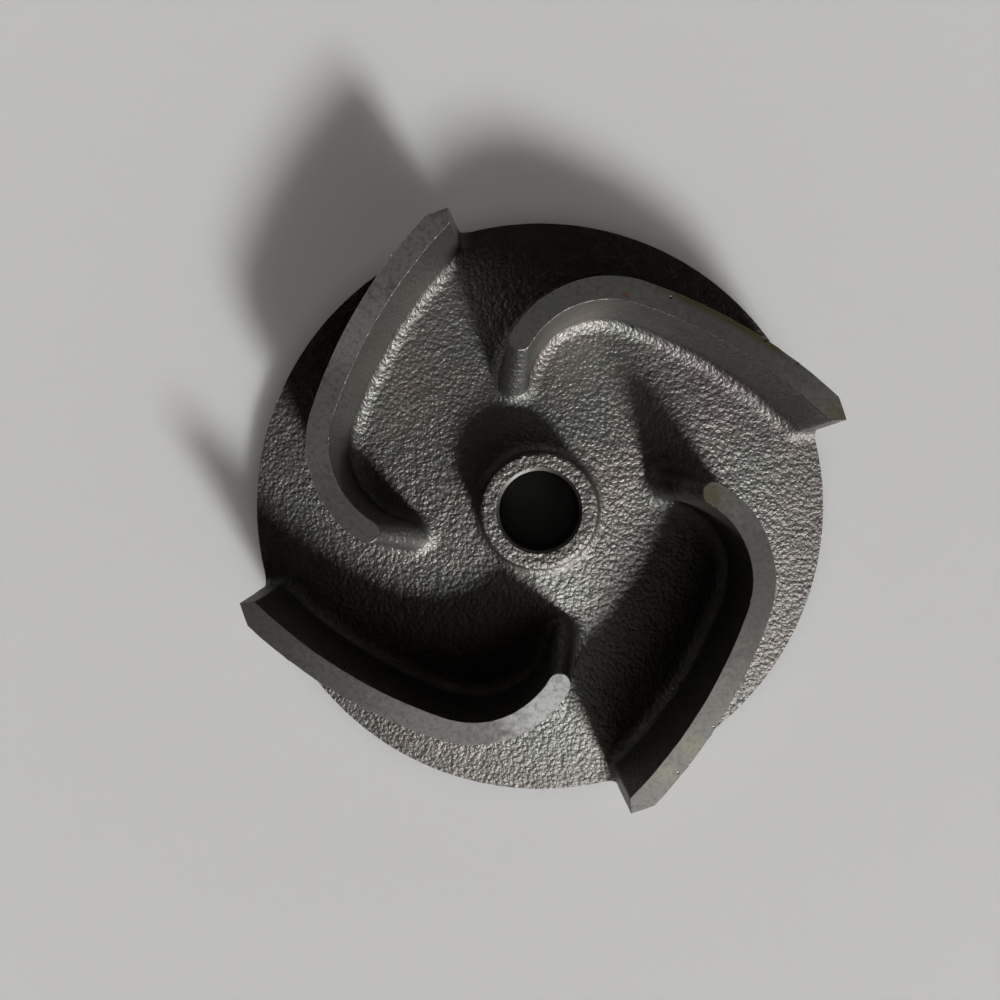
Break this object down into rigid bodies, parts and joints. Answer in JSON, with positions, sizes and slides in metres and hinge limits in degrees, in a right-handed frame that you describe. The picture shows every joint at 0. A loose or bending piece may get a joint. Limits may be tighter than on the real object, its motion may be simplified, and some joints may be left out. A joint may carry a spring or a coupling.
{
  "type": "pump impeller",
  "caption": "Semi-open centrifugal pump impeller: a cast disc with backward-curved vanes, a raised hub and a plain shaft bore.",
  "frame": {"origin": "on the shaft's axis, at the disc's back face", "axes": "+Z along the shaft's axis from the back face towards the vanes; +X passes between one vane's outer end and the next vane's nose"},
  "size_m": [0.165, 0.165, 0.035],
  "materials": {
    "cast_iron": "as-cast sand texture, with machined rim, bore, back and vane edges"
  },
  "bodies": {
    "root": {"impeller": "cast_iron"}
  },
  "joints": []
}
